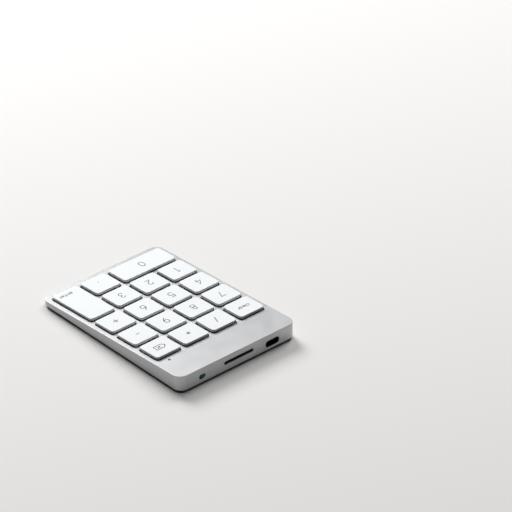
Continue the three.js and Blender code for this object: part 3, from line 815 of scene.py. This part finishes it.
# %% Switch knob
KNOB_HEAD = 0.4 * MM
KNOB_DOME = 0.32 * MM
KNOB_ROUND_SHARE = 0.45  # of the knob's width, rounded over by the dome from each side
STEM_SIZE = (1.2 * MM, 0.6 * MM)
STEM_RADIUS = 0.1 * MM
knob_low, knob_high = (np.array(corner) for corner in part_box("switch_knob"))
knob_middle = (knob_low + knob_high) / 2
knob_width, knob_depth, knob_height = knob_high - knob_low
knob_face = knob_high[1] - port_wall(knob_middle[2])
stem_length = knob_depth - KNOB_HEAD
knob_profile = np.array([(0, knob_face - knob_depth + stem_length),
                         *quarter(0, KNOB_ROUND_SHARE * knob_width, knob_face - KNOB_DOME, knob_face,
                                  count=9)])
knob_rings = stack(lambda inset: rounded_outline(knob_width, knob_height, knob_width / 2, inset, 10),
                   knob_profile)
stem_outline = rounded_outline(*STEM_SIZE, STEM_RADIUS, steps=2)
stem_rings = np.stack([np.column_stack([stem_outline, np.full(len(stem_outline), height)])
                       for height in (knob_face - knob_depth, knob_face - knob_depth + stem_length)])
points, faces = joined([in_port_wall(rings, knob_middle[0], knob_middle[2])
                        for rings in (knob_rings, stem_rings)])
new_piece("slide_knob", points, faces, FINISHES["gloss_black"], "switch", replaces=["switch_knob"])
print(f"knob {knob_width / MM:.1f} by {knob_height / MM:.1f} mm, {-knob_face / MM:.2f} mm behind the wall")

# %% [markdown]
# Under each key a rubber dome holds it up and folds when the key is pressed. The sheet is the CAD sheet cut
# level with its top face. Each dome is a piece of its own, a thin cone with a flat crown, riding on the
# case's body.

# %% Dome sheet
DOME_BASE_RADIUS = 2.5 * MM
DOME_CROWN_RADIUS = 1.3 * MM
DOME_WALL = 0.25 * MM
SHEET_TOP = deck_level - 1.65 * MM
SHEET_CLEAR = 0.001 * MM
SLAB = (100 * MM, 130 * MM)
SLAB_RADIUS = 1.0 * MM
dome_crown = deck_box("dome_sheet")[1][2]
dome_height = dome_crown - SHEET_TOP
dome_points = node_points("dome_sheet")
dome_faces = [list(polygon.vertices) for polygon in nodes["dome_sheet"].data.polygons]
slab = on_deck(stack(lambda inset: rounded_outline(*SLAB, SLAB_RADIUS, inset),
                     np.array([(0, SHEET_TOP + SHEET_CLEAR), (0, dome_crown + PAST)])))
points, faces = cut_from(dome_points, dome_faces, [slab], "dome_slab")
new_piece("dome_base", points, faces, FINISHES["dome_silicone"], "case", replaces=["dome_sheet"],
          flat=True)
crown_inset = DOME_BASE_RADIUS - DOME_CROWN_RADIUS
dome_profile = np.array([(crown_inset + DOME_WALL, dome_height - DOME_WALL), (DOME_WALL, SHEET_CLEAR),
                         (0, SHEET_CLEAR), (crown_inset, dome_height)])
for name in key_names:
    low, high = deck_box("keycap_" + name)
    place = (low + high)[:2] / 2
    rings = on_deck(stack(lambda inset: ring_outline(DOME_BASE_RADIUS - inset), dome_profile),
                    place[0], place[1], SHEET_TOP)
    points, faces = joined([rings])
    dome = new_piece("dome_" + name, points, faces, FINISHES["dome_silicone"], "case",
                     replaces=["dome_sheet"])
    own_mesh(dome)

# %% [markdown]
# The status light is a clear rod under a small hole. Its top is a low dome, so it takes a point of light.

# %% Status light
LENS_RISE = 0.15 * MM
lens_low, lens_high = deck_box("led_light_pipe")
lens_radius = (lens_high - lens_low)[0] / 2
lens_turn = np.linspace(0, 1, 6)
lens_profile = np.array([(0, lens_low[2]),
                         *[(lens_radius * t, lens_high[2] - LENS_RISE * (1 - t) ** 2)
                           for t in lens_turn[:-1]]])
lens_rings = stack(lambda inset: ring_outline(lens_radius - inset, 24), lens_profile)
points, faces = joined([lens_rings])
lens_place = (lens_low + lens_high) / 2
new_piece("status_lens", on_deck(points, lens_place[0], lens_place[1]), faces, FINISHES["light_pipe"], "case",
          replaces=["led_light_pipe"])
print(f"lens {2 * lens_radius / MM:.2f} mm across")

# %% [markdown]
# Underneath, a moulded plate closes the case. It follows the case's outline a little further in, its lower
# edge is rounded, and each screw sits in a recess with a softened mouth. The recesses are cut like the
# shell's holes.

# %% Bottom plate
PLATE_INSET = 0.5 * MM
PLATE_EDGE = 0.3 * MM
RECESS_RADIUS = 1.6 * MM
RECESS_TOP = 1.05 * MM
BORE_RADIUS = 0.85 * MM
RECESS_MOUTH = 0.12 * MM
PLATE_TOP = 1.4 * MM
HAIR = 0.001 * MM  # keeps a bore without a mouth from having two rings at one height
plate_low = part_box("bottom_cover")[0][2]
plate_rings = np.stack([
    case_ring(PLATE_INSET + PLATE_EDGE, height=plate_low),
    *[case_ring(PLATE_INSET + inset, height=z) for inset, z in
      quarter(PLATE_EDGE, 0, plate_low, plate_low + PLATE_EDGE, bulge="in")[1:]],
    case_ring(PLATE_INSET, height=PLATE_TOP)])
screw_places = {name: middle_of(name) for name in sorted(nodes) if name.startswith("screw_")}
recess_cutters = []
for place in screw_places.values():
    for radius, top, mouth in ((RECESS_RADIUS, RECESS_TOP, RECESS_MOUTH),
                               (BORE_RADIUS, PLATE_TOP + PAST, 0.0)):
        profile = np.array([(-mouth, plate_low - PAST), (-mouth, plate_low),
                            (0, plate_low + mouth + HAIR), (0, top)])
        rings = stack(lambda inset: ring_outline(radius - inset, 40), profile)
        recess_cutters.append(rings + np.array([place.x, place.y, 0]))
points, faces = joined([plate_rings])
for number, cutter in enumerate(recess_cutters):
    points, faces = cut_from(points, faces, [cutter], f"plate_{number}")
new_piece("bottom_plate", points, faces, FINISHES["base_plastic"], "case", replaces=["bottom_cover"])
print(f"bottom_plate: {len(faces)} faces, {len(screw_places)} recesses")

# %% [markdown]
# Four rubber feet are glued to the plate. Each is a low pad with round ends and a generous rounding where it
# meets the desk. The screws have flat heads with a six-lobed recess, whose outline is a circle that swells
# and shrinks six times on its way round.

# %% Feet and screws
FOOT_ROUNDING = 0.25 * MM
for name in sorted(nodes):
    if not name.startswith("foot_"):
        continue
    low, high = (np.array(corner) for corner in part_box(name))
    width, depth, thickness = high - low
    profile = np.array([*quarter(FOOT_ROUNDING, 0, 0, FOOT_ROUNDING, bulge="in"), (0, thickness)])
    rings = stack(lambda inset: rounded_outline(width, depth, depth / 2, inset, 12), profile)
    points, faces = joined([rings + np.array([*((low + high) / 2)[:2], low[2]])])
    new_piece("pad_" + name, points, faces, FINISHES["foot_rubber"], "case", replaces=[name])

CAD_HEAD_SIDES = 8
HEAD_EDGE = 0.1 * MM
HEAD_THICKNESS = 0.26 * MM
SHANK_RADIUS = 0.6 * MM
LOBE_RADIUS = 0.62 * MM
LOBE_SWELL = 0.11 * MM
LOBE_DEPTH = 0.2 * MM
LOBES = 6
LOBE_POINTS = 72
lobe_turn = np.arange(LOBE_POINTS) * 2 * math.pi / LOBE_POINTS
lobe_radius = LOBE_RADIUS + LOBE_SWELL * np.cos(LOBES * lobe_turn)
lobe_outline = np.stack([np.cos(lobe_turn), np.sin(lobe_turn)], -1) * lobe_radius[:, None]
for name, place in screw_places.items():
    low, high = (np.array(corner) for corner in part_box(name))
    head_radius = (high - low)[0] / 2 / math.cos(math.pi / CAD_HEAD_SIDES)
    profile = np.array([*quarter(HEAD_EDGE, 0, low[2], low[2] + HEAD_EDGE, bulge="in"),
                        (0, low[2] + HEAD_THICKNESS), (head_radius - SHANK_RADIUS, low[2] + HEAD_THICKNESS),
                        (head_radius - SHANK_RADIUS, high[2])])
    rings = stack(lambda inset: ring_outline(head_radius - inset, 40), profile)
    star = np.stack([np.column_stack([lobe_outline, np.full(LOBE_POINTS, z)])
                     for z in (low[2] - PAST, low[2] + LOBE_DEPTH)])
    centre = np.array([place.x, place.y, 0])
    points, faces = cut_from(*joined([rings + centre]), [star + centre], name)
    new_piece("plated_" + name, points, faces, FINISHES["screw_steel"], "case", replaces=[name])
print(f"{len([name for name in nodes if name.startswith('foot_')])} feet, {len(screw_places)} screws")
